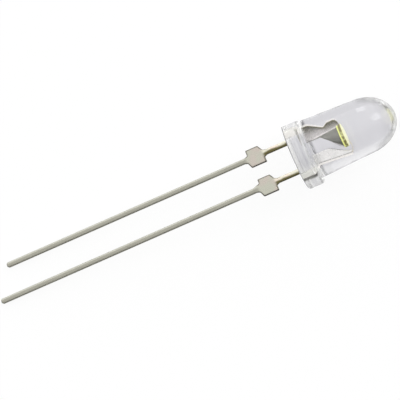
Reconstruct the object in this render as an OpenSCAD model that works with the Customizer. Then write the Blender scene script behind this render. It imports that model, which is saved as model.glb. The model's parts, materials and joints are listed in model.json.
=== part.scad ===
// A clear 5 mm through-hole light-emitting diode, lying on a table as it comes to rest.
// It is drawn standing on its base, cathode side toward +X, and then laid down.

/* [Lens] */
// Height of the moulded lens, from its base to the tip of the dome
lens_h = 8.92; // [8:0.01:12]
// Diameter of the flange round the base
flange_d = 5.9; // [5.6:0.05:6.5]
// Height of the flange
flange_h = 1.4; // [0.9:0.05:1.8]
// Distance from the axis to the flat that marks the cathode side
flat_x = 2.53; // [2.3:0.01:2.8]
// Rounding of the flange's lower edge
base_round = 0.16; // [0.05:0.01:0.25]
// Rounding of the flange's upper edge
rim_round = 0.25; // [0.05:0.01:0.3]
// Rounding of the corner where the barrel rises from the flange
foot_round = 0.1; // [0.05:0.01:0.12]
// Diameter of the barrel where it rises from the flange
barrel_d = 5; // [4.8:0.05:5.3]
// Diameter of the barrel where the dome begins
dome_d = 4.6; // [4.4:0.02:4.8]
// Height of the dome
dome_h = 2.82; // [2.2:0.02:3.2]
// Depth of the shallow hollow that the resin leaves in the base
hollow_depth = 0.08; // [0.02:0.01:0.15]
// Width of the flat seating ring round that hollow
ring_w = 0.4; // [0.2:0.05:0.6]
// Height of the resin that creeps along each lead
creep_h = 0.14; // [0.05:0.01:0.2]
// Radius of that resin where it leaves the base
creep_r = 0.36; // [0.32:0.01:0.45]
// Thickness of that resin where it ends on the lead
creep_lip = 0.02; // [0.01:0.005:0.04]

/* [Leads] */
// Distance between the centres of the two leads
pitch = 2.54; // [2.4:0.01:2.7]
// Width of a lead
lead_w = 0.45; // [0.35:0.01:0.5]
// Thickness of the stamped strip
lead_t = 0.43; // [0.35:0.01:0.5]
// Width of the broken edges along a lead
lead_edge = 0.05; // [0.02:0.01:0.08]
// Length of the cathode lead below the base
cathode_len = 25.3; // [15:0.1:28]
// Length of the anode lead below the base
anode_len = 26.9; // [16:0.1:30]
// Length of the bevels at the cut tip of a lead
tip_bevel = 0.12; // [0.05:0.01:0.15]

/* [Stopper tabs] */
// Width of a tab across the lead
tab_w = 1.5; // [1:0.05:1.7]
// Distance from the base to the near end of the tabs
tab_top = 2.27; // [1.8:0.01:3.4]
// Length of the tabs along the lead
tab_len = 1.32; // [0.9:0.02:1.6]
// Length cut off the corner that looks toward the cathode side of the lens
tab_cut = 0.25; // [0.1:0.01:0.35]
// Slope of the far end, which the board's hole stops
tab_slope = 0.18; // [0.05:0.01:0.3]
// Width of the fillets where a tab meets the lead
root_w = 0.09; // [0.05:0.01:0.15]
// Length of those fillets along the lead
root_len = 0.24; // [0.15:0.01:0.35]
// Width of the flare below the anode's tab
flare_w = 0.18; // [0.1:0.01:0.25]
// Length of that flare
flare_len = 0.6; // [0.4:0.01:0.8]
// Corner rounding of the tabs
tab_round = 0.07; // [0.03:0.01:0.1]

/* [Cathode anvil] */
// Height at which the cathode widens into the anvil
anvil_z = 0.92; // [0.7:0.01:1.1]
// Distance from the axis to the anvil's inner edge
anvil_in = 0.39; // [0.33:0.01:0.45]
// Height at which the inner edge starts to lean under the cup
lean_z = 2.56; // [2.4:0.01:2.7]
// Depth of the neck where the lead meets the anvil
neck_depth = 0.13; // [0.05:0.01:0.2]
// Distance from the axis to the shoulder
shoulder_x = 1.36; // [1.28:0.01:1.5]
// Height of the shoulder
shoulder_z = 1.86; // [1.7:0.01:2]
// Distance from the axis to the waist below the head
waist_x = 0.85; // [0.8:0.01:0.92]
// Height of the waist
waist_z = 3.08; // [3:0.01:3.2]
// Distance from the axis to the outer edge of the head
head_x = 1.04; // [0.98:0.01:1.15]
// Height of the head's lower corner
head_z = 3.48; // [3.4:0.01:3.6]
// Rounding of the head's upper corner
head_round = 0.38; // [0.2:0.01:0.4]

/* [Reflector cup] */
// Height of the cup's rim
rim_z = 4.36; // [4.3:0.01:4.5]
// Radius of the cup's rim
cup_r = 0.62; // [0.6:0.01:0.68]
// Height of the straight collar below the rim
collar_h = 0.28; // [0.15:0.01:0.3]
// Step from the collar in to the body of the cup
collar_step = 0.03; // [0.02:0.005:0.05]
// Radius of the cup's body at its root
root_r = 0.48; // [0.42:0.01:0.55]
// Height of the cup's root
root_z = 1.75; // [1.5:0.01:2.2]
// Thickness of the lip at the rim
lip = 0.1; // [0.07:0.01:0.13]
// Depth of the cup
cup_depth = 0.36; // [0.25:0.01:0.45]
// Radius of the cup's floor
floor_r = 0.34; // [0.3:0.01:0.4]

/* [Anode post] */
// Height at which the anode widens into the post
post_z = 1.0; // [0.8:0.01:1.1]
// Distance from the axis to the post's inner edge
post_in = 0.36; // [0.32:0.01:0.42]
// Distance from the axis to the post's outer edge at its foot
post_foot_x = 0.96; // [0.9:0.01:1]
// Height at which the outer edge reaches that distance
post_foot_z = 1.62; // [1.5:0.01:1.75]
// Height at which the inner edge starts to draw back from the cup
draw_z = 2.86; // [2.7:0.01:3]
// Distance from the axis to the outer edge at the tip
tip_x = 1.16; // [1.12:0.01:1.25]
// Width of the tip, where the wire lands
tip_w = 0.2; // [0.18:0.01:0.24]
// Height of the tip
tip_z = 4.48; // [4.4:0.01:4.55]

/* [Light source] */
// Side of the square chip
chip_side = 0.3; // [0.25:0.01:0.34]
// Height of the chip
chip_h = 0.12; // [0.08:0.01:0.15]
// Radius of the glue under the chip
glue_r = 0.26; // [0.25:0.01:0.28]
// Thickness of the glue
glue_t = 0.03; // [0.02:0.005:0.05]
// Height of the phosphor's crown above the rim
crown_h = 0.24; // [0.2:0.01:0.3]
// Height of the straight side of the phosphor above the rim
side_h = 0.06; // [0.02:0.01:0.1]
// Thickness of the phosphor that runs down outside the collar
skirt_t = 0.035; // [0.02:0.005:0.05]

/* [Bond wires] */
// Diameter of the gold wires
wire_d = 0.04; // [0.03:0.005:0.05]
// Diameter of the ball that starts each wire on the chip
ball_d = 0.1; // [0.08:0.005:0.11]
// Height of that ball
ball_h = 0.04; // [0.03:0.005:0.06]
// Distance from the axis to each ball
pad_x = 0.09; // [0.08:0.005:0.1]
// Height of the anode wire's loop above its highest end
anode_loop = 0.16; // [0.12:0.01:0.3]
// Height of the cathode wire's loop above its highest end
cathode_loop = 0.12; // [0.1:0.01:0.2]

/* [Hidden] */

$fn = 64;
arc_steps = 5;
crown_steps = 8;
dome_steps = 18;

// Corner radii of the stampings inside the lens, from the tightest to the widest
sharp_corner = 0.04;
tight_corner = 0.06;
small_corner = 0.1;
waist_corner = 0.14;
post_corner = 0.2;
wide_corner = 0.3;

// Radii and heights that follow from the sizes above
flange_r = flange_d / 2;
barrel_r = barrel_d / 2;
dome_r = dome_d / 2;
dome_z = lens_h - dome_h;
hollow_r = flange_r - base_round - ring_w;
rim_fillet = min(rim_round, flange_r - barrel_r - foot_round);
lead_x = pitch / 2;
tab_bottom = tab_top + tab_len;
collar_z = rim_z - collar_h;
body_r = cup_r - collar_step;
mouth_r = cup_r - lip;
floor_z = rim_z - cup_depth;
chip_z = floor_z + glue_t;
pad_z = chip_z + chip_h;
skirt_r = cup_r + skirt_t;
anode_land_x = tip_x - tip_w / 2;
cathode_land_x = (mouth_r + head_x - head_round) / 2;

// Resting pose: the flange's lower edge and both lead tips touch the table
step_ratio = (anode_len - cathode_len) / pitch;
tip_half = lead_w / 2 - tip_bevel;
function settle(s, n) = n == 0 ? s : settle(
    ((flange_r - base_round) * sqrt(1 - s * s) + base_round
        - lead_t / 2 * sqrt(1 - s * s * (1 + step_ratio * step_ratio)))
        / (cathode_len + (lead_x + tip_half) * step_ratio + base_round), n - 1);
tilt = asin(settle(0.1, 12));
roll = asin(step_ratio * tan(tilt));
rest_h = (flange_r - base_round) * cos(tilt) + base_round - base_round * sin(tilt);

// Middle of the box round the part at rest, along the table
front_x = dome_z * cos(tilt) + norm([dome_h * cos(tilt), dome_r * sin(tilt)]);
back_x = -anode_len * cos(tilt) - sin(tilt) * (sin(roll) * (lead_x + tip_half)
    + cos(roll) * lead_t / 2);
flat_half = sqrt(flange_r * flange_r - flat_x * flat_x);
side_y = flat_x * cos(roll) + flat_half * sin(roll);
rest_shift = [-(front_x + back_x) / 2, (flange_r - side_y) / 2, rest_h];

// Points of an arc about a centre
function arc(c, r, from, to, steps) =
    [for (i = [0:steps]) c + r * [cos(from + (to - from) * i / steps), sin(from + (to - from) * i / steps)]];

// Replaces the corner at p by an arc of radius r
function corner(before, p, after, r) =
    let (a = (before - p) / norm(before - p), b = (after - p) / norm(after - p),
        half = acos(a * b) / 2, c = p + (a + b) / norm(a + b) * r / sin(half),
        first = p + a * r / tan(half) - c, last = p + b * r / tan(half) - c,
        from = atan2(first[1], first[0]),
        turn = atan2(first[0] * last[1] - first[1] * last[0], first * last))
    arc(c, r, from, from + turn, arc_steps);

// An outline given as [x, z, corner radius], with its corners rounded
function rounded(pts) = let (n = len(pts))
    [for (i = [0:n - 1]) each let (p = [pts[i][0], pts[i][1]],
        q = pts[(i + n - 1) % n], s = pts[(i + 1) % n])
        pts[i][2] == 0 ? [p] : corner([q[0], q[1]], p, [s[0], s[1]], pts[i][2])];

// Lays the standing part down on the table
module lying() {
    translate(rest_shift) rotate([0, -tilt, 0]) rotate([-roll, 0, 0]) rotate([90, 0, 90]) children();
}

// Stamps an outline in the plane of the leads out of strip of thickness t
module stamped(t) {
    rotate([90, 0, 0]) linear_extrude(height = t, center = true) children();
}

// Straight lead with broken edges, from its bevelled tip to a height in the lens
module lead_bar(x, length, top) {
    w = lead_w / 2;
    t = lead_t / 2;
    intersection() {
        translate([x, 0, -length]) linear_extrude(height = length + top) polygon([
            [w, t - lead_edge], [w - lead_edge, t], [lead_edge - w, t], [-w, t - lead_edge],
            [-w, lead_edge - t], [lead_edge - w, -t], [w - lead_edge, -t], [w, lead_edge - t]]);
        stamped(2 * lead_t) translate([x, -length]) polygon([
            [-tip_half, 0], [tip_half, 0], [tip_half + lead_w, lead_w], [lead_w, length + 2 * top],
            [-lead_w, length + 2 * top], [-tip_half - lead_w, lead_w]]);
    }
}

// Stopper tab of a lead, with a fillet or flare of a given width and length at its far end
module tab_outline(x, far_w, far_len) {
    w = lead_w / 2;
    h = tab_w / 2;
    translate([x, 0]) polygon(rounded([
        [-w, -tab_bottom - tab_slope - root_len, 0],
        [w, -tab_bottom - far_len, 0],
        [w + far_w, -tab_bottom, tab_round],
        [h, -tab_bottom, tab_round],
        [h, -tab_top - tab_cut, tab_round],
        [w + root_w, -tab_top, small_corner],
        [w, -tab_top + root_len, 0],
        [-w, -tab_top + root_len, 0],
        [-w - root_w, -tab_top, tab_round],
        [-h, -tab_top, tab_round],
        [-h, -tab_bottom, tab_round],
        [-w - root_w, -tab_bottom - tab_slope, small_corner]]));
}

// Flat anvil that carries the cup, with the waist that locks it in the resin
module anvil_outline() {
    outer = lead_x + lead_w / 2;
    polygon(rounded([
        [lead_x - lead_w / 2, anvil_z, tight_corner],
        [lead_x - lead_w / 2, anvil_z - lead_w, 0],
        [outer, anvil_z - lead_w, 0],
        [outer, anvil_z - neck_depth, small_corner],
        [outer - neck_depth, anvil_z + neck_depth, small_corner],
        [shoulder_x, shoulder_z, wide_corner],
        [waist_x, waist_z, waist_corner],
        [head_x, head_z, small_corner],
        [head_x, rim_z, head_round],
        [0, rim_z, 0],
        [0, collar_z, 0],
        [-body_r, collar_z, 0],
        [anvil_in, lean_z, wide_corner],
        [anvil_in, anvil_z, small_corner]]));
}

// Post that the anode's wire lands on
module post_outline() {
    inner = -lead_x + lead_w / 2;
    outer = -lead_x - lead_w / 2;
    polygon(rounded([
        [outer, post_z - lead_w, 0],
        [inner, post_z - lead_w, 0],
        [inner, post_z, tight_corner],
        [-post_in, post_z, small_corner],
        [-post_in, draw_z, wide_corner],
        [-tip_x + tip_w, tip_z - tip_w, post_corner],
        [-tip_x + tip_w, tip_z, sharp_corner],
        [-tip_x, tip_z, sharp_corner],
        [-post_foot_x, post_foot_z, post_corner],
        [outer, post_z, post_corner]]));
}

// Hollow of the reflector cup, up to a height above its floor
module cup_hollow(h) {
    slope = (mouth_r - floor_r) / cup_depth;
    translate([0, 0, floor_z]) cylinder(r1 = floor_r, r2 = floor_r + slope * h, h = h);
}

module cathode_shape() {
    difference() {
        union() {
            lead_bar(lead_x, cathode_len, anvil_z - lead_w / 2);
            stamped(lead_t) {
                tab_outline(lead_x, root_w, root_len);
                anvil_outline();
            }
            // The cup is pressed up out of the anvil and stands proud of it on both faces
            intersection() {
                translate([0, 0, root_z]) cylinder(r1 = root_r, r2 = body_r, h = collar_z - root_z);
                stamped(3 * cup_r) anvil_outline();
            }
            translate([0, 0, collar_z]) cylinder(r = cup_r, h = collar_h);
        }
        cup_hollow(cup_depth + lip);
    }
}

module anode_shape() {
    lead_bar(-lead_x, anode_len, post_z - lead_w / 2);
    stamped(lead_t) {
        tab_outline(-lead_x, flare_w, flare_len);
        post_outline();
    }
}

module glue_shape() {
    translate([0, 0, floor_z]) cylinder(r = glue_r, h = glue_t);
}

module chip_shape() {
    translate([0, 0, chip_z + chip_h / 2]) cube([chip_side, chip_side, chip_h], center = true);
}

// Crown of the phosphor over the cup, which runs down outside the collar
module crown_profile() {
    bulge = crown_h - side_h;
    polygon(concat(
        [[0, rim_z], [cup_r, rim_z], [cup_r, collar_z], [skirt_r, collar_z + skirt_t]],
        [for (i = [0:crown_steps]) [skirt_r * cos(90 * i / crown_steps),
            rim_z + side_h + bulge * sin(90 * i / crown_steps)]]));
}

// Yellow resin that fills the cup and stands over its rim
module phosphor_fill() {
    cup_hollow(cup_depth);
    difference() {
        rotate_extrude() crown_profile();
        stamped(lead_t) anvil_outline();
    }
}

// Wire bent in one arc from a ball on the chip to its landing, side 1 for +X and -1 for -X
module bond_wire(side, land_x, land_z, loop) {
    start_z = pad_z + ball_h / 2;
    end_z = land_z + wire_d / 2;
    span = land_x - pad_x;
    rise = end_z - start_z;
    chord = norm([span, rise]);
    sag = loop + rise / 2;
    r = (chord * chord / 4 + sag * sag) / (2 * sag);
    half = asin(min(1, chord / 2 / r));
    sweep = sag > r ? 360 - 2 * half : 2 * half;
    middle = [pad_x + span / 2, start_z + rise / 2];
    up = [-rise, span] / chord;
    centre = middle + up * (sag - r);
    lean = atan2(up[1], up[0]);
    mirror([side < 0 ? 1 : 0, 0, 0]) {
        translate([pad_x, 0, pad_z]) cylinder(d = ball_d, h = ball_h);
        translate([centre[0], 0, centre[1]]) rotate([90, 0, 0]) rotate([0, 0, lean - sweep / 2])
            rotate_extrude(angle = sweep) translate([r, 0]) circle(d = wire_d, $fn = 16);
        translate([land_x, 0, land_z]) cylinder(d1 = ball_d, d2 = wire_d, h = wire_d);
    }
}

module anode_wire_shape() {
    bond_wire(-1, anode_land_x, tip_z, anode_loop);
}

module cathode_wire_shape() {
    bond_wire(1, cathode_land_x, rim_z, cathode_loop);
}

// Outline of the flange, the tapered barrel and the dome, turned about the axis
module lens_profile() {
    dome = [for (i = [0:dome_steps])
        [dome_r * cos(90 * i / dome_steps), dome_z + dome_h * sin(90 * i / dome_steps)]];
    polygon(concat(
        [[0, hollow_depth], [hollow_r - 2 * hollow_depth, hollow_depth], [hollow_r, 0]],
        arc([flange_r - base_round, base_round], base_round, -90, 0, arc_steps),
        arc([flange_r - rim_fillet, flange_h - rim_fillet], rim_fillet, 0, 90, arc_steps),
        arc([barrel_r + foot_round, flange_h + foot_round], foot_round, 270, 180, arc_steps),
        dome));
}

// Resin drawn a little way down a lead
module creep(x) {
    translate([x, 0, hollow_depth - creep_h])
        cylinder(r1 = lead_w / 2 + creep_lip, r2 = creep_r, h = creep_h + hollow_depth);
}

module lens_form() {
    difference() {
        rotate_extrude() lens_profile();
        translate([flat_x, -flange_r, -flange_h]) cube([flange_r, flange_d, 2 * flange_h]);
    }
    creep(lead_x);
    creep(-lead_x);
}

module epoxy_lens() {
    color([0.86, 0.86, 0.9, 0.45]) lying() difference() {
        lens_form();
        cathode_shape();
        anode_shape();
        phosphor_fill();
        anode_wire_shape();
        cathode_wire_shape();
    }
}

module cathode_lead() {
    color([0.72, 0.70, 0.65]) lying() cathode_shape();
}

module anode_lead() {
    color([0.72, 0.70, 0.65]) lying() anode_shape();
}

module die_attach() {
    color([0.80, 0.82, 0.84]) lying() glue_shape();
}

module led_chip() {
    color([0.55, 0.62, 0.72]) lying() chip_shape();
}

module phosphor() {
    color([0.90, 0.88, 0.35]) lying() difference() {
        phosphor_fill();
        glue_shape();
        chip_shape();
        anode_wire_shape();
        cathode_wire_shape();
    }
}

module anode_bond_wire() {
    color([0.85, 0.68, 0.28]) lying() anode_wire_shape();
}

module cathode_bond_wire() {
    color([0.85, 0.68, 0.28]) lying() cathode_wire_shape();
}

epoxy_lens();
cathode_lead();
anode_lead();
die_attach();
led_chip();
phosphor();
anode_bond_wire();
cathode_bond_wire();
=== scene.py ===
"""A clear through-hole LED with stopper tabs on its leads, on a white table, seen from above."""
import json
import math

import bpy
from mathutils import Matrix, Vector


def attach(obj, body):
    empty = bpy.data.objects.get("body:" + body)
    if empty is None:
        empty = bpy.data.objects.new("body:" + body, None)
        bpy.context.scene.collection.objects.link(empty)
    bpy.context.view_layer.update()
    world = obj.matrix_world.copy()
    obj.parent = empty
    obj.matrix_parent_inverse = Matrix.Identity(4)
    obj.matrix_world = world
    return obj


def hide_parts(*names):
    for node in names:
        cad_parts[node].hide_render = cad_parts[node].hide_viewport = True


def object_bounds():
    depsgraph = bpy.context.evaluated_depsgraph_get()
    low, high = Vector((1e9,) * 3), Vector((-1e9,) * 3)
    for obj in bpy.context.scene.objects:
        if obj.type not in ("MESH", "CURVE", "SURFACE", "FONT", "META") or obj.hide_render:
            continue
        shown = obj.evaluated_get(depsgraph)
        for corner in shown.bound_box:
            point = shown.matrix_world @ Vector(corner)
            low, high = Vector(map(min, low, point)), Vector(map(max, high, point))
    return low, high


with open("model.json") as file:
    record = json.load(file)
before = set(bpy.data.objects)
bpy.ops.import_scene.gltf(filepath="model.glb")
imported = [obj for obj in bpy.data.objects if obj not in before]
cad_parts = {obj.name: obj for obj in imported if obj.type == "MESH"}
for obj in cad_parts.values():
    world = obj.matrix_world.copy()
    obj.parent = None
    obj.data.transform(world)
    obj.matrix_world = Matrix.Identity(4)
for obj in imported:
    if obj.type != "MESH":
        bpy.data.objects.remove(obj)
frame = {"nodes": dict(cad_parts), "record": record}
cad_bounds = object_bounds()
mounts = {mount["name"]: mount for mount in frame["record"]["mounts"]}
nodes = frame["nodes"]
MM = 0.001

# Sizes of the lens, in millimetres above its base, as the part has them
LENS_H = 8.92
FLANGE_R = 2.95
FLANGE_H = 1.4
FLAT_X = 2.53
BASE_ROUND = 0.16
RIM_ROUND = 0.25
FOOT_ROUND = 0.1
BARREL_R = 2.5
DOME_R = 2.3
DOME_H = 2.82
HOLLOW_DEPTH = 0.08
RING_W = 0.4
CREEP_H = 0.14
CREEP_R = 0.36
CREEP_TIP_R = 0.245

# Sizes of the cup and the phosphor over it
RIM_Z = 4.36
CUP_R = 0.62
LIP = 0.1
COLLAR_Z = 4.08
CUP_DEPTH = 0.36
FLOOR_R = 0.34
CROWN_H = 0.24
SIDE_H = 0.06
SKIRT_T = 0.035

# Distance from the base to the stops below the tabs, from the axis to each lead's middle, and thickness
STOP_BELOW_BASE = 3.77
LEAD_X = 1.27
LEAD_T = 0.43

# How finely the skins are stepped, and the angle in degrees above which an edge stays sharp
LENS_TURNS = 240
CREEP_TURNS = 48
CROWN_TURNS = 96
HOLLOW_STEPS = 6
ROUND_STEPS = 10
RIM_STEPS = 14
BARREL_STEPS = 6
DOME_STEPS = 60
CROWN_STEPS = 16
SHARP_ANGLE = 30

# A fade is the pair of values between which a look goes from nothing to full. Noise lies mostly in its
# range. Toward a soft edge the rounded normal grows less like the face's own.
NOISE_RANGE = (0.3, 0.7)
EDGE_FADE = (0.998, 0.93)
EDGE_SAMPLES = 8

# Colours of the resin, and where each begins: x across the leads, z above the base, r from the axis. Its
# grey depth, darker flange and dark lines are painted shade, its pale colours painted light
# Faint violet of the resin itself, deepened to a grey that is painted shade: the shaded table seen through
# the lens
RESIN_DARK = (0.67, 0.665, 0.70, 1)
RESIN_LIGHT = (0.72, 0.715, 0.745, 1)
# Painted shade: the flange's darker tint
RESIN_FLANGE_SHADE = (0.50, 0.50, 0.54, 1)
# Painted light: pale on the flange's ends, stripes and foot, and along the barrel's lower side
RESIN_PAINTED_LIGHT = (0.97, 0.97, 0.96, 1)
# Painted shade: a dark line at the very edge of the barrel's lower side
RESIN_SIDE_SHADE = (0.56, 0.56, 0.59, 1)
# Painted shade: a dark line round the base's rim
RESIN_BASE_SHADE = (0.25, 0.25, 0.26, 1)
CLOUD_SCALE = 0.9
STRIPE_SCALE = 0.63
FLANGE_SHADE_SHARE = 0.5
STRIPE_SHARE = 0.5
FLANGE_ENDS_X_FADE = (0.9, 1.7)
FLANGE_FOOT_Z_FADE = (0.4, 0.2)
PALE_BAND_X_FADE = (-1.5, -2.2)
SIDE_LINE_FADE = (-0.96, -0.985)
BASE_LINE_Z_FADE = (0.12, 0.06)
BASE_LINE_R_FADE = (2.7, 2.8)

# How milky, rough and wavy the resin is, and how its dome lets light past at a glancing angle
EPOXY_IOR = 1.53
MILKY_FLANGE = 0.2
MILKY_X_FADE = (-2.1, -1.8)
MILKY_FOOT = 0.5
MILKY_FOOT_FADE = (0.15, 0.05)
SATIN_SCALE = 2.5
ROUGH_SKIN = 0.04
ROUGH_FLANGE = 0.12
ROUGH_DOME = 0.16
WAVE_SCALE = 1.6
SKIN_DEPTH = 0.006
GLANCING_FADE = (0.3, 0.6)
OUTLINE_FADE = (0.9, 0.7)
OUTLINE_THROUGH = (0.2, 0.6)

# Colours of the silver plate inside the resin, and where each begins; the anode's brighter faces are
# painted light, the cathode's dark outer part, the anode's edge line and the inner walls are painted shade
SILVER_DARK = (0.86, 0.81, 0.76, 1)
SILVER_LIGHT = (0.95, 0.93, 0.90, 1)
# Painted light: the anode's faces a brighter, even silver
SILVER_ANODE_LIT = (0.93, 0.93, 0.88, 1)
# Painted shade: olive darkening toward the cathode's outer edge and along its rims
SILVER_PAINTED_SHADE = (0.24, 0.225, 0.14, 1)
# Painted shade: a dark line along the anode's outer edge in the flange
SILVER_LINE_SHADE = (0.02, 0.02, 0.02, 1)
# Darker on the cup, and painted shade on the inner walls that face the axis
SILVER_CUP_AND_SHADED_WALL = (0.45, 0.455, 0.40, 1)
ANODE_LIT_SHARE = 0.8
CATHODE_SHADE_SHARE = 0.8
CUP_AND_SHADED_WALL_SHARE = 0.9
FACE_LIKENESS = 0.7
WALL_LIKENESS = 0.5
HEAD_Z_FADE = (2.9, 3.2)
HEAD_REACH = 0.25
CATHODE_SHADE_X_FADE = (0.7, 1.2)
CATHODE_RIM_SHADE_X_FADE = (0.5, 0.8)
CATHODE_SHADE_Z_FADE = (0.75, 0.95)
CATHODE_RIM_SHADE_W = 0.4
ANODE_LINE_X_FADE = (-1.44, -1.47)
ANODE_LINE_Z_FADE = (1.4, 1.2)
CUP_CLEAR = 0.01

# Colours of the tinned strip outside the resin; the neck's dark side and the dark edges are painted shade,
# the shaft's lighter upper side painted light
NECK_PINK = (0.78, 0.68, 0.58, 1)
NECK_CREAM = (0.74, 0.72, 0.60, 1)
# Painted shade: the neck's dark lower side
NECK_SHADE = (0.13, 0.115, 0.05, 1)
TAB_PINK = (0.49, 0.435, 0.385, 1)
TAB_GREY = (0.455, 0.455, 0.38, 1)
TAB_PATCH = (0.66, 0.64, 0.58, 1)
SHAFT_DARK = (0.31, 0.305, 0.255, 1)
SHAFT_GREY = (0.42, 0.41, 0.35, 1)
# Painted light: the shaft's lighter upper side
SHAFT_PAINTED_LIGHT = (0.49, 0.485, 0.425, 1)
# Painted shade along the strip's edges: on their lower side, and all round the tab and its root
STRIP_EDGE_SHADE = (0.13, 0.12, 0.10, 1)
PATCH_SHARE = 0.3
SHAFT_PAINTED_LIGHT_SHARE = 0.85
ROOT_SHADE_SHARE = 0.9

# Heights above the base at which the strip's looks change, and places across each lead
SHAFT_Z_FADE = (-3.65, -3.95)
NECK_Z_FADE = (-2.45, -2.15)
ROOT_Z_FADE = (-1.65, -1.95)
INSIDE_Z_FADE = (-0.1, 0.1)
METAL_IN_FLANGE_Z_FADE = (1.0, 0.8)
NECK_SHADE_FADE = (0.12, -0.06)
NECK_SHADE_WOBBLE = 0.05
WOBBLE_SCALE = 0.8
SHAFT_PAINTED_LIGHT_FADE = (0.04, 0.17)
LOWER_SIDE_FADE = (0.02, -0.1)
HUE_SCALE = 1.0
HUE_RANGE = (0.4, 0.6)

# How rounded the strip's edges look, and how rough and bright its metal is
TAB_EDGE = 0.24
NECK_EDGE = 0.12
SHAFT_EDGE_LESS = 0.04
FLANGE_METALLIC = 0.2
PLATE_ROUGH = (0.2, 0.32)
ROUGH_SHAFT = 0.15
ROUGH_MATT = 0.5
STRIP_DEPTH = 0.003
GRAIN_SCALE = 30.0
LINE_SCALE = 9.0
LINE_DETAIL = 4.0
LINE_STRETCH = (1.0, 1.0, 0.06)
PATCH_SCALE = 2.2
PATCH_DETAIL = 4.0
# Painted glow: light emitted by the plate's outer walls and by the metal in the flange, standing for light
# the resin gathers
PAINTED_GLOW_COLOUR = (1.0, 0.99, 0.90, 1)
PAINTED_GLOW_WALL = 0.3
PAINTED_GLOW_FLANGE = 0.15
OUTER_WALL_X_FADE = (0.65, 0.7)
OUTER_WALL_Z_FADE = (1.0, 1.2)

# Looks of the phosphor: painted highlights and a painted glow along its lower and upper edge, mottled
# between
PHOSPHOR_SPOT = (0.30, 0.275, 0.08, 1)
PHOSPHOR_MIDDLE = (0.84, 0.84, 0.38, 1)
PHOSPHOR_LOWER_HIGHLIGHT = (0.93, 0.97, 0.30, 1)
PHOSPHOR_UPPER_HIGHLIGHT = (0.97, 0.97, 0.62, 1)
PHOSPHOR_LOWER_Z_FADE = (4.24, 4.16)
PHOSPHOR_UPPER_Z_FADE = (4.38, 4.46)
SPOT_SCALE = 5.0
SPOT_RANGE = (0.42, 0.58)
PHOSPHOR_PAINTED_GLOW = (0.1, 0.45)
PHOSPHOR_ROUGH = (0.3, 0.6)
PHOSPHOR_DEPTH = 0.02

# Brightness of the surroundings in front, above and behind, and their fades along the frame's Y
WORLD_FRONT = 0.15
WORLD_TOP = 1.1
WORLD_BACK = 1.6
WORLD_FRONT_FADE = (-0.6, 0.05)
WORLD_BACK_FADE = (0.0, 0.8)

# What camera and metal see of the white table, and what the resin shows of table and surroundings
TABLE_COLOUR = (0.95, 0.95, 0.95, 1)
WHITE = (1, 1, 1, 1)
SEEN_SHARE = 0.92
THROUGH_SHARE = 0.6
MIRRORED_SHARE = 0.95
THROUGH_WORLD = 0.9

# Side of the table and distance of each lamp from the lens's base, in metres
TABLE_SIZE = 0.8
LAMP_DISTANCE = 0.3

# How the camera sees the part: straight from above, with the lens axis turned in the frame
VIEW_TILT = 5.934
VIEW_ROLL = 3.754
AXIS_ANGLE = 23.7
BASE_PIXEL = (295.1, 156.3)
PIXELS_PER_MM = 12.25
FRAME_PIXELS = 400
FOCAL = 800.0
SENSOR = 36.0
CLIP_START = 0.01
CLIP_END = 10

# The part's own directions, from its packed mounts
axis = Vector(mounts["flange_rim"]["axis"]).normalized()
cathode_stop = Vector(mounts["cathode_board_stop"]["pos_m"])
anode_stop = Vector(mounts["anode_board_stop"]["pos_m"])
across = (cathode_stop - anode_stop).normalized()
face = axis.cross(across)
base = (cathode_stop + anode_stop) / 2 + axis * STOP_BELOW_BASE * MM
standing = Matrix((across, face, axis)).transposed().to_4x4()
standing.translation = base


def placed(x, y, z):
    """A point of the standing part, in millimetres, where it lies in the frame."""
    return standing @ Vector((x * MM, y * MM, z * MM))


def arc(cx, cz, r, start, stop, steps):
    """Points of an arc in the profile plane, in degrees."""
    turns = [math.radians(start + (stop - start) * i / steps) for i in range(steps + 1)]
    return [(cx + r * math.cos(t), cz + r * math.sin(t)) for t in turns]


def ellipse(z, width, height, steps):
    """Quarter of an ellipse from its widest point up to just under its top."""
    turns = [math.radians(90 * i / steps) for i in range(steps)]
    return [(width * math.cos(t), z + height * math.sin(t)) for t in turns]


def even_turns(count):
    """Directions evenly spaced round the axis."""
    return [2 * math.pi * i / count for i in range(count)]


def add_object(name, verts, faces):
    """A smooth mesh object whose edges stay sharp above the sharp angle."""
    mesh = bpy.data.meshes.new(name)
    mesh.from_pydata(verts, [], faces)
    mesh.validate()
    mesh.shade_smooth()
    mesh.set_sharp_from_angle(angle=math.radians(SHARP_ANGLE))
    obj = bpy.data.objects.new(name, mesh)
    bpy.context.scene.collection.objects.link(obj)
    return obj


def turned(name, profile, bottom_z, top_z, turns, trim=None):
    """A closed skin turned about the lens axis, from a middle point up a profile to another."""
    verts = []
    for r, z in profile:
        for turn in turns:
            x, y = r * math.cos(turn), r * math.sin(turn)
            if trim:
                x = trim(x, z)
            verts.append(placed(x, y, z))
    count = len(turns)
    faces = []
    for ring in range(len(profile) - 1):
        for i in range(count):
            a = ring * count + i
            b = ring * count + (i + 1) % count
            faces.append((a, b, b + count, a + count))
    foot = len(verts)
    verts.append(placed(0, 0, bottom_z))
    verts.append(placed(0, 0, top_z))
    last = (len(profile) - 1) * count
    for i in range(count):
        faces.append((foot, (i + 1) % count, i))
        faces.append((last + i, last + (i + 1) % count, foot + 1))
    return add_object(name, verts, faces)


def make_creep(x):
    """Closed cone of the resin that creeps down a lead, reaching up into the lens."""
    turns = even_turns(CREEP_TURNS)
    count = len(turns)
    rings = ((CREEP_TIP_R, HOLLOW_DEPTH - CREEP_H), (CREEP_R, 2 * HOLLOW_DEPTH))
    verts = [placed(x + r * math.cos(turn), r * math.sin(turn), z) for r, z in rings for turn in turns]
    sides = [(i, (i + 1) % count, count + (i + 1) % count, count + i) for i in range(count)]
    ends = [tuple(reversed(range(count))), tuple(range(count, 2 * count))]
    return add_object("creep", verts, sides + ends)


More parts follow.
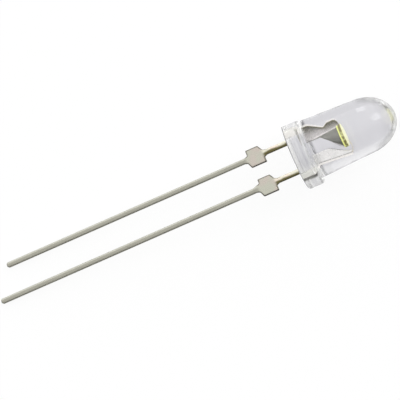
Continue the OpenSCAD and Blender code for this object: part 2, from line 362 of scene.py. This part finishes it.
def join(piece, addition):
    """Joins a second closed skin to a piece, with nothing of either left inside."""
    union = piece.modifiers.new("union", "BOOLEAN")
    union.operation = "UNION"
    union.solver = "EXACT"
    union.object = addition
    bpy.context.view_layer.objects.active = piece
    bpy.ops.object.modifier_apply(modifier=union.name)
    bpy.data.objects.remove(addition)
    piece.data.set_sharp_from_angle(angle=math.radians(SHARP_ANGLE))


def make_lens():
    """The moulded lens as one closed skin, flattened on the cathode's side, with its creep cones."""
    hollow_r = FLANGE_R - BASE_ROUND - RING_W
    dome_z = LENS_H - DOME_H
    foot_z = FLANGE_H + FOOT_ROUND
    barrel = [(BARREL_R + (DOME_R - BARREL_R) * i / BARREL_STEPS,
               foot_z + (dome_z - foot_z) * i / BARREL_STEPS) for i in range(1, BARREL_STEPS)]
    profile = ([(hollow_r * k / HOLLOW_STEPS, HOLLOW_DEPTH) for k in range(1, HOLLOW_STEPS, 2)]
               + [(hollow_r - 2 * HOLLOW_DEPTH, HOLLOW_DEPTH), (hollow_r, 0)]
               + arc(FLANGE_R - BASE_ROUND, BASE_ROUND, BASE_ROUND, -90, 0, ROUND_STEPS)
               + arc(FLANGE_R - RIM_ROUND, FLANGE_H - RIM_ROUND, RIM_ROUND, 0, 90, RIM_STEPS)
               + arc(BARREL_R + FOOT_ROUND, foot_z, FOOT_ROUND, 270, 180, ROUND_STEPS)
               + barrel + ellipse(dome_z, DOME_R, DOME_H, DOME_STEPS))
    corner = math.acos(FLAT_X / FLANGE_R)
    turns = sorted(even_turns(LENS_TURNS) + [corner, 2 * math.pi - corner])
    lens = turned("lens", profile, HOLLOW_DEPTH, LENS_H, turns,
                  trim=lambda x, z: min(x, FLAT_X) if z <= foot_z else x)
    for x in (LEAD_X, -LEAD_X):
        join(lens, make_creep(x))
    return lens


def make_phosphor():
    """The yellow resin that fills the cup and stands over its rim."""
    floor_z = RIM_Z - CUP_DEPTH
    profile = ([(FLOOR_R, floor_z), (CUP_R - LIP, RIM_Z), (CUP_R, RIM_Z), (CUP_R, COLLAR_Z),
                (CUP_R + SKIRT_T, COLLAR_Z + SKIRT_T)]
               + ellipse(RIM_Z + SIDE_H, CUP_R + SKIRT_T, CROWN_H - SIDE_H, CROWN_STEPS))
    return turned("phosphor_crown", profile, floor_z, RIM_Z + CROWN_H, even_turns(CROWN_TURNS))


class Tree:
    """A material's or world's node tree, with short ways to add and link nodes."""

    def __init__(self, owner):
        owner.use_nodes = True
        self.tree = owner.node_tree
        self.nodes = self.tree.nodes

    def add(self, kind, settings=None, **values):
        """Adds a node, sets its properties, and sets or links its inputs by name."""
        node = self.nodes.new("ShaderNode" + kind)
        for key, value in (settings or {}).items():
            setattr(node, key, value)
        for key, value in values.items():
            self.put(node, key.replace("_", " "), value)
        return node

    def put(self, node, key, value):
        """Sets an input to a value, or links it to another node's output."""
        socket = node.inputs[int(key)] if key.isdigit() else node.inputs[key]
        if isinstance(value, bpy.types.NodeSocket):
            self.tree.links.new(value, socket)
        else:
            socket.default_value = value

    def maths(self, operation, a, b=0.0, clamp=False):
        """A maths node's output."""
        node = self.add("Math", {"operation": operation, "use_clamp": clamp})
        self.put(node, "0", a)
        self.put(node, "1", b)
        return node.outputs[0]

    def times(self, first, *others):
        """The product of several values."""
        for other in others:
            first = self.maths("MULTIPLY", first, other)
        return first

    def most(self, first, second):
        """The larger of two values."""
        return self.maths("MAXIMUM", first, second)

    def rest(self, share):
        """What a share leaves of one."""
        return self.maths("SUBTRACT", 1.0, share)

    def ramp(self, value, low, high, to_low=0.0, to_high=1.0, smooth=True):
        """A value taken from one range to another."""
        node = self.add("MapRange", {"interpolation_type": "SMOOTHSTEP" if smooth else "LINEAR"})
        for key, setting in (("Value", value), ("From Min", low), ("From Max", high),
                             ("To Min", to_low), ("To Max", to_high)):
            self.put(node, key, setting)
        return node.outputs["Result"]

    def blend(self, share, first, second):
        """A colour between two, each of them a colour or another node's output."""
        node = self.add("Mix", {"data_type": "RGBA"})
        self.put(node, "0", share)
        self.put(node, "6", first)
        self.put(node, "7", second)
        return node.outputs[2]

    def noise(self, place, scale, detail=3.0, stretch=None):
        """Noise over a place, its output from 0 to 1."""
        if stretch:
            place = self.add("Mapping", Vector=place, Scale=stretch).outputs[0]
        return self.add("TexNoise", Vector=place, Scale=scale, Detail=detail).outputs[0]

    def bump(self, height, depth, normal=None):
        """A normal that a height disturbs, with its depth in millimetres."""
        node = self.add("Bump", Strength=1.0, Distance=depth * MM, Height=height)
        if normal:
            self.put(node, "Normal", normal)
        return node.outputs[0]

    def toward(self, way):
        """How far each face looks along a direction, from -1 to 1."""
        likeness = self.add("VectorMath", {"operation": "DOT_PRODUCT"})
        self.put(likeness, "0", self.add("NewGeometry").outputs["True Normal"])
        self.put(likeness, "1", way)
        return likeness.outputs["Value"]

    def rounded_edges(self, radius):
        """The normal of softly rounded edges, and how near such an edge is, from 0 to 1."""
        bevel = self.add("Bevel", {"samples": EDGE_SAMPLES})
        self.put(bevel, "Radius", self.times(radius, MM))
        normal = bevel.outputs[0]
        return normal, self.ramp(self.toward(normal), *EDGE_FADE)

    def place(self):
        """The place on the standing part, in millimetres, and its three parts."""
        back = standing.inverted()
        coords = self.add("TexCoord").outputs["Object"]
        turn = self.add("Mapping", Vector=coords, Scale=(1 / MM,) * 3,
                        Rotation=back.to_euler(), Location=back.translation / MM)
        parts = self.add("SeparateXYZ", Vector=turn.outputs[0])
        return turn.outputs[0], parts.outputs


def new_material(name):
    """A new material, its tree and its Principled shader."""
    mat = bpy.data.materials.new(name)
    tree = Tree(mat)
    return mat, tree, tree.nodes["Principled BSDF"]


def resin_colour(tree, where, parts, in_flange, stripes):
    """Faintly violet resin, grey with painted shade, darker in the flange with painted shade, painted
    light on the flange's ends, stripes and foot and along the barrel's lower side, and painted dark lines
    at the barrel's lower edge and round the base.
    """
    x, y, z = parts
    # The resin's faint violet; its grey depth is painted shade of the table seen through it
    tint = tree.blend(tree.noise(where, CLOUD_SCALE), RESIN_DARK, RESIN_LIGHT)
    # Painted shade: the flange darker
    tint = tree.blend(tree.times(in_flange, FLANGE_SHADE_SHARE), tint, RESIN_FLANGE_SHADE)
    # Painted light: a pale band along the barrel's lower side
    tint = tree.blend(tree.ramp(x, *PALE_BAND_X_FADE), tint, RESIN_PAINTED_LIGHT)

    # Painted shade: a dark line where the skin faces straight to the lower side
    level_place = tree.add("CombineXYZ", X=x, Y=y).outputs[0]
    off_axis = tree.add("VectorMath", {"operation": "LENGTH"}, Vector=level_place).outputs["Value"]
    at_side = tree.ramp(tree.maths("DIVIDE", x, off_axis), *SIDE_LINE_FADE)
    tint = tree.blend(at_side, tint, RESIN_SIDE_SHADE)

    # Painted light: pale on the flange's ends, stripes and foot
    at_ends = tree.ramp(tree.maths("ABSOLUTE", x), *FLANGE_ENDS_X_FADE)
    in_stripe = tree.most(tree.times(stripes, STRIPE_SHARE), tree.ramp(z, *FLANGE_FOOT_Z_FADE))
    pale = tree.times(in_flange, tree.most(at_ends, in_stripe))
    tint = tree.blend(pale, tint, RESIN_PAINTED_LIGHT)

    # Painted shade: a dark line round the base's rim
    base_line = tree.times(tree.ramp(z, *BASE_LINE_Z_FADE), tree.ramp(off_axis, *BASE_LINE_R_FADE))
    return tree.blend(base_line, tint, RESIN_BASE_SHADE)


def epoxy_material():
    """Clear cast resin with the soft waviness of a moulded skin, milky in the flange and at its foot."""
    mat, tree, shader = new_material("clear epoxy")
    where, (x, y, z) = tree.place()
    in_flange = tree.ramp(z, FLANGE_H + 3 * FOOT_ROUND, FLANGE_H + FOOT_ROUND)
    in_dome = tree.ramp(z, LENS_H - DOME_H, LENS_H - DOME_H / 2)
    stripes = tree.add("TexWave", {"bands_direction": "Z"}, Vector=where, Scale=STRIPE_SCALE,
                       Distortion=1.0, Detail=1.0).outputs["Fac"]
    tree.put(shader, "Base Color", resin_colour(tree, where, (x, y, z), in_flange, stripes))
    tree.put(shader, "IOR", EPOXY_IOR)

    milky = tree.times(in_flange, tree.ramp(x, *MILKY_X_FADE, 0.0, MILKY_FLANGE))
    from_foot = tree.maths("ABSOLUTE", tree.maths("SUBTRACT", z, FLANGE_H + FOOT_ROUND / 2))
    milky = tree.most(milky, tree.ramp(from_foot, *MILKY_FOOT_FADE, 0.0, MILKY_FOOT))
    tree.put(shader, "Transmission Weight", tree.rest(milky))

    satin = tree.ramp(tree.noise(where, SATIN_SCALE), *NOISE_RANGE, 0.0, ROUGH_SKIN)
    satin = tree.maths("ADD", satin, tree.times(in_flange, ROUGH_FLANGE))
    tree.put(shader, "Roughness", tree.maths("ADD", satin, tree.times(in_dome, ROUGH_DOME)))
    height = tree.maths("ADD", tree.noise(where, WAVE_SCALE, detail=1.0), tree.times(stripes, in_flange))
    tree.put(shader, "Normal", tree.bump(height, SKIN_DEPTH))

    facing = tree.add("LayerWeight", Blend=0.5).outputs["Facing"]
    glancing = tree.ramp(facing, *GLANCING_FADE)
    near_outline = tree.ramp(facing, *OUTLINE_FADE, *OUTLINE_THROUGH)
    tree.put(shader, "Alpha", tree.rest(tree.times(glancing, near_outline, in_dome)))
    return mat


def outwardness(tree, x):
    """How far each face looks away from the lens axis toward its lead's own side, from -1 to 1."""
    return tree.times(tree.toward(across), tree.maths("SIGN", x))


def on_cup(tree, y):
    """Where the cup stands proud of the strip's faces."""
    return tree.maths("GREATER_THAN", tree.maths("ABSOLUTE", y), LEAD_T / 2 + CUP_CLEAR)


def plated_colour(tree, where, parts):
    """Silver plate in the resin, with painted shade toward the cathode's outer edge and along its rims,
    painted light on the anode's faces, a painted dark line at the anode's outer edge, darker on the cup,
    and painted shade on the inner walls.
    """
    x, y, z = parts
    silver = tree.blend(tree.noise(where, PATCH_SCALE, PATCH_DETAIL), SILVER_DARK, SILVER_LIGHT)
    # Painted light: the anode's faces brighter and even
    on_face = tree.maths("GREATER_THAN", tree.maths("ABSOLUTE", tree.toward(face)), FACE_LIKENESS)
    anode_face = tree.times(on_face, tree.maths("LESS_THAN", x, 0.0))
    silver = tree.blend(tree.times(anode_face, ANODE_LIT_SHARE), silver, SILVER_ANODE_LIT)

    # Painted shade toward the cathode's outer edge, and along its rims where the rounded normal bends
    head = tree.ramp(z, *HEAD_Z_FADE, 0.0, HEAD_REACH)
    outward = tree.ramp(tree.maths("ADD", x, head), *CATHODE_SHADE_X_FADE)
    rim = tree.times(tree.rounded_edges(CATHODE_RIM_SHADE_W)[1], tree.ramp(x, *CATHODE_RIM_SHADE_X_FADE))
    cathode_shade = tree.most(tree.times(outward, CATHODE_SHADE_SHARE), rim)
    cathode_shade = tree.times(cathode_shade, on_face, tree.ramp(z, *CATHODE_SHADE_Z_FADE))
    silver = tree.blend(cathode_shade, silver, SILVER_PAINTED_SHADE)

    # Painted shade: a dark line along the anode's outer edge in the flange
    anode_line = tree.times(tree.ramp(x, *ANODE_LINE_X_FADE), tree.ramp(z, *ANODE_LINE_Z_FADE))
    silver = tree.blend(anode_line, silver, SILVER_LINE_SHADE)
    # Painted shade: walls facing the axis darker; the cup darker too
    inner_wall = tree.maths("LESS_THAN", outwardness(tree, x), -WALL_LIKENESS)
    cup_and_shaded_wall = tree.most(on_cup(tree, y), inner_wall)
    return tree.blend(tree.times(cup_and_shaded_wall, CUP_AND_SHADED_WALL_SHARE), silver, SILVER_CUP_AND_SHADED_WALL)


def strip_colour(tree, where, z, off_middle, edge, masks):
    """Tinned strip outside the resin: neck with painted shade on its lower side, grey tab and shaft with a
    painted lighter upper side, and painted shade along their edges.
    """
    beyond_tab, above_tab, patches, lines = masks
    # Painted shade along the neck's lower side, with a wobbly border
    wobble = tree.ramp(tree.noise(where, WOBBLE_SCALE), *NOISE_RANGE, -NECK_SHADE_WOBBLE, NECK_SHADE_WOBBLE)
    neck_shade = tree.ramp(tree.maths("ADD", off_middle, wobble), *NECK_SHADE_FADE)
    hue = tree.ramp(tree.noise(where, HUE_SCALE, detail=1.0), *HUE_RANGE)
    neck = tree.blend(neck_shade, tree.blend(hue, NECK_PINK, NECK_CREAM), NECK_SHADE)
    tab = tree.blend(hue, TAB_PINK, TAB_GREY)
    tab = tree.blend(tree.times(patches, PATCH_SHARE), tab, TAB_PATCH)
    # Painted light: the shaft lighter toward its upper side
    shaft_painted_light = tree.ramp(off_middle, *SHAFT_PAINTED_LIGHT_FADE, 0.0, SHAFT_PAINTED_LIGHT_SHARE)
    shaft = tree.blend(shaft_painted_light, tree.blend(lines, SHAFT_DARK, SHAFT_GREY), SHAFT_PAINTED_LIGHT)
    unshaded_strip = tree.blend(above_tab, tree.blend(beyond_tab, tab, shaft), neck)

    # Painted shade along the edges: on their lower side, and all round the tab and its root
    lower_side = tree.times(tree.ramp(off_middle, *LOWER_SIDE_FADE), tree.rest(beyond_tab))
    to_root = tree.maths("SUBTRACT", tree.ramp(z, *ROOT_Z_FADE), beyond_tab)
    strip_edge_shade = tree.most(lower_side, tree.times(to_root, ROOT_SHADE_SHARE))
    return tree.blend(tree.maths("MULTIPLY", edge, strip_edge_shade, clamp=True), unshaded_strip, STRIP_EDGE_SHADE)


def tinned_material():
    """Tin-plated strip, satin and warm grey outside, and bright silver plate inside the lens, with a
    painted glow on the plate's outer walls and in the flange.
    """
    mat, tree, shader = new_material("tinned steel")
    where, (x, y, z) = tree.place()
    lines = tree.noise(where, LINE_SCALE, LINE_DETAIL, LINE_STRETCH)
    patches = tree.noise(where, PATCH_SCALE, PATCH_DETAIL)
    off_middle = tree.maths("SUBTRACT", x, tree.times(tree.maths("SIGN", x), LEAD_X))
    beyond_tab = tree.ramp(z, *SHAFT_Z_FADE)
    above_tab = tree.ramp(z, *NECK_Z_FADE)
    inside = tree.ramp(z, *INSIDE_Z_FADE)
    in_flange = tree.times(inside, tree.ramp(z, *METAL_IN_FLANGE_Z_FADE))

    soft = tree.ramp(above_tab, 0.0, 1.0, TAB_EDGE, NECK_EDGE)
    soft = tree.maths("SUBTRACT", soft, tree.times(beyond_tab, SHAFT_EDGE_LESS))
    normal, edge = tree.rounded_edges(soft)
    outside = strip_colour(tree, where, z, off_middle, edge, (beyond_tab, above_tab, patches, lines))
    tree.put(shader, "Base Color", tree.blend(inside, outside, plated_colour(tree, where, (x, y, z))))
    tree.put(shader, "Metallic", tree.ramp(in_flange, 0.0, 1.0, 1.0, FLANGE_METALLIC))

    # Painted glow on the plate's outer walls and on the metal in the flange
    outer_wall = tree.times(tree.maths("GREATER_THAN", outwardness(tree, x), WALL_LIKENESS),
                            tree.ramp(tree.maths("ABSOLUTE", x), *OUTER_WALL_X_FADE),
                            tree.ramp(z, *OUTER_WALL_Z_FADE))
    painted_glow = tree.most(tree.times(outer_wall, PAINTED_GLOW_WALL), tree.times(in_flange, PAINTED_GLOW_FLANGE))
    tree.put(shader, "Emission Color", PAINTED_GLOW_COLOUR)
    tree.put(shader, "Emission Strength", painted_glow)

    rough = tree.ramp(patches, *NOISE_RANGE, *PLATE_ROUGH)
    wear = tree.times(beyond_tab, ROUGH_SHAFT)
    matt = tree.times(tree.most(in_flange, on_cup(tree, y)), ROUGH_MATT)
    tree.put(shader, "Roughness", tree.maths("ADD", rough, tree.maths("ADD", wear, matt)))
    grain = tree.maths("ADD", lines, tree.noise(where, GRAIN_SCALE))
    tree.put(shader, "Normal", tree.bump(grain, STRIP_DEPTH, normal))
    return mat


def phosphor_material():
    """Yellow phosphor in resin: painted highlights and a painted glow at its two edges, darker and mottled
    between.
    """
    mat, tree, shader = new_material("phosphor")
    where, parts = tree.place()
    # Painted highlights along the lower and upper edge, which also carry a painted glow
    lower = tree.ramp(parts["Z"], *PHOSPHOR_LOWER_Z_FADE)
    upper = tree.ramp(parts["Z"], *PHOSPHOR_UPPER_Z_FADE)
    edge = tree.maths("ADD", lower, upper, clamp=True)
    spots = tree.noise(where, SPOT_SCALE)
    middle = tree.blend(tree.ramp(spots, *SPOT_RANGE), PHOSPHOR_SPOT, PHOSPHOR_MIDDLE)
    colour = tree.blend(edge, middle, tree.blend(upper, PHOSPHOR_LOWER_HIGHLIGHT, PHOSPHOR_UPPER_HIGHLIGHT))
    tree.put(shader, "Base Color", colour)
    tree.put(shader, "Emission Color", colour)
    tree.put(shader, "Emission Strength", tree.ramp(edge, 0.0, 1.0, *PHOSPHOR_PAINTED_GLOW))
    tree.put(shader, "Roughness", tree.ramp(spots, *NOISE_RANGE, *PHOSPHOR_ROUGH))
    tree.put(shader, "Normal", tree.bump(spots, PHOSPHOR_DEPTH))
    return mat


def grained_material(name, scale, dark, light, rough, depth, metallic=0.0):
    """A material whose fine grain varies its colour, its roughness and its height."""
    mat, tree, shader = new_material(name)
    grain = tree.noise(tree.place()[0], scale)
    tree.put(shader, "Base Color", tree.blend(grain, dark, light))
    tree.put(shader, "Metallic", metallic)
    tree.put(shader, "Roughness", tree.ramp(grain, *NOISE_RANGE, *rough))
    tree.put(shader, "Normal", tree.bump(grain, depth))
    return mat


def set_material(obj, mat):
    """Puts one material on every slot of an object."""
    if not obj.material_slots:
        obj.data.materials.append(mat)
    for material_slot in obj.material_slots:
        material_slot.material = mat


def ride_for(piece, node):
    """Lets a piece stand for a CAD node, on the part's one body."""
    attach(piece, "root")
    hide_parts(node)


def make_floor():
    """A white table that keeps the part's shadow, and shows white to the camera, metal and resin."""
    bpy.ops.mesh.primitive_plane_add(size=TABLE_SIZE, location=(0, 0, cad_bounds[0][2]))
    floor = bpy.context.object
    floor.name = "table"
    mat, tree, shader = new_material("table")
    tree.put(shader, "Base Color", TABLE_COLOUR)
    tree.put(shader, "Roughness", 1.0)
    path = tree.add("LightPath").outputs
    glow = tree.add("Emission", Color=WHITE, Strength=1.0)
    seen = tree.most(path["Is Camera Ray"], path["Is Glossy Ray"])
    mirrored = tree.maths("GREATER_THAN", path["Glossy Depth"], 0.5)
    through = tree.most(tree.times(mirrored, MIRRORED_SHARE), THROUGH_SHARE)
    through = tree.times(path["Is Transmission Ray"], through)
    mix = tree.add("MixShader")
    tree.put(mix, "0", tree.most(tree.times(seen, SEEN_SHARE), through))
    tree.put(mix, "1", shader.outputs[0])
    tree.put(mix, "2", glow.outputs[0])
    tree.put(tree.nodes["Material Output"], "Surface", mix.outputs[0])
    floor.data.materials.append(mat)


def make_world():
    """Soft white surroundings, brighter behind the part than in front of it."""
    world = bpy.data.worlds.new("studio")
    bpy.context.scene.world = world
    tree = Tree(world)
    path = tree.add("LightPath").outputs
    split = tree.add("SeparateXYZ", Vector=tree.add("TexCoord").outputs["Generated"]).outputs
    front = tree.ramp(split["Y"], *WORLD_FRONT_FADE, WORLD_FRONT, WORLD_TOP)
    behind = tree.ramp(split["Y"], *WORLD_BACK_FADE, 0.0, WORLD_BACK - WORLD_TOP, smooth=False)
    unmirrored = tree.maths("LESS_THAN", path["Glossy Depth"], 0.5)
    clear = tree.times(path["Is Transmission Ray"], unmirrored)
    level = tree.most(tree.maths("ADD", front, behind), tree.times(clear, THROUGH_WORLD))
    tree.put(tree.nodes["Background"], "Strength", tree.most(level, path["Is Camera Ray"]))
    tree.put(tree.nodes["Background"], "Color", WHITE)


def add_lamp(name, azimuth, height, size, radiance):
    """A square soft lamp that looks at the lens from an azimuth and a height above the table."""
    turn, rise = math.radians(azimuth), math.radians(height)
    way = Vector((math.cos(turn) * math.cos(rise), math.sin(turn) * math.cos(rise), math.sin(rise)))
    data = bpy.data.lights.new(name, "AREA")
    data.size = size
    data.energy = radiance * math.pi * size * size
    lamp = bpy.data.objects.new(name, data)
    bpy.context.scene.collection.objects.link(lamp)
    lamp.location = base + way * LAMP_DISTANCE
    lamp.rotation_euler = (-way).to_track_quat("-Z", "Y").to_euler()


def make_camera():
    """A long lens over the part, turned so that the leads run to the lower left."""
    tilt, roll = math.radians(VIEW_TILT), math.radians(VIEW_ROLL)
    toward = (axis * math.sin(tilt) - across * math.cos(tilt) * math.sin(roll)
              + face * math.cos(tilt) * math.cos(roll))
    along = (axis - toward * axis.dot(toward)).normalized()
    side = toward.cross(along)
    turn = math.radians(AXIS_ANGLE)
    right = along * math.cos(turn) - side * math.sin(turn)
    up = along * math.sin(turn) + side * math.cos(turn)
    centre = (base + right * (FRAME_PIXELS / 2 - BASE_PIXEL[0]) / PIXELS_PER_MM * MM
              - up * (FRAME_PIXELS / 2 - BASE_PIXEL[1]) / PIXELS_PER_MM * MM)
    width = FRAME_PIXELS / PIXELS_PER_MM * MM
    data = bpy.data.cameras.new("camera")
    data.lens = FOCAL
    data.sensor_width = SENSOR
    data.clip_start = CLIP_START
    data.clip_end = CLIP_END
    camera = bpy.data.objects.new("camera", data)
    bpy.context.scene.collection.objects.link(camera)
    pose = Matrix((right, up, toward)).transposed().to_4x4()
    pose.translation = centre + toward * width * FOCAL / SENSOR
    camera.matrix_world = pose
    bpy.context.scene.camera = camera


lens = make_lens()
set_material(lens, epoxy_material())
ride_for(lens, "epoxy_lens")
crown = make_phosphor()
set_material(crown, phosphor_material())
ride_for(crown, "phosphor")

tinned = tinned_material()
gold = grained_material("gold", scale=20.0, dark=(0.62, 0.54, 0.40, 1), light=(0.88, 0.77, 0.52, 1),
                        rough=(0.2, 0.4), depth=0.001, metallic=1.0)
glue = grained_material("silver glue", scale=40.0, dark=(0.45, 0.46, 0.47, 1), light=(0.75, 0.76, 0.77, 1),
                        rough=(0.4, 0.7), depth=0.004, metallic=0.6)
chip = grained_material("chip", scale=25.0, dark=(0.25, 0.32, 0.42, 1), light=(0.45, 0.52, 0.60, 1),
                        rough=(0.1, 0.25), depth=0.001)
for node_name, mat in (("cathode_lead", tinned), ("anode_lead", tinned), ("die_attach", glue),
                       ("led_chip", chip), ("anode_bond_wire", gold), ("cathode_bond_wire", gold)):
    set_material(nodes[node_name], mat)

make_floor()
make_world()
add_lamp("window", azimuth=80, height=16, size=0.11, radiance=2.2)
add_lamp("side lamp", azimuth=20, height=44, size=0.14, radiance=3.0)
make_camera()

bpy.context.scene.view_settings.view_transform = "Standard"
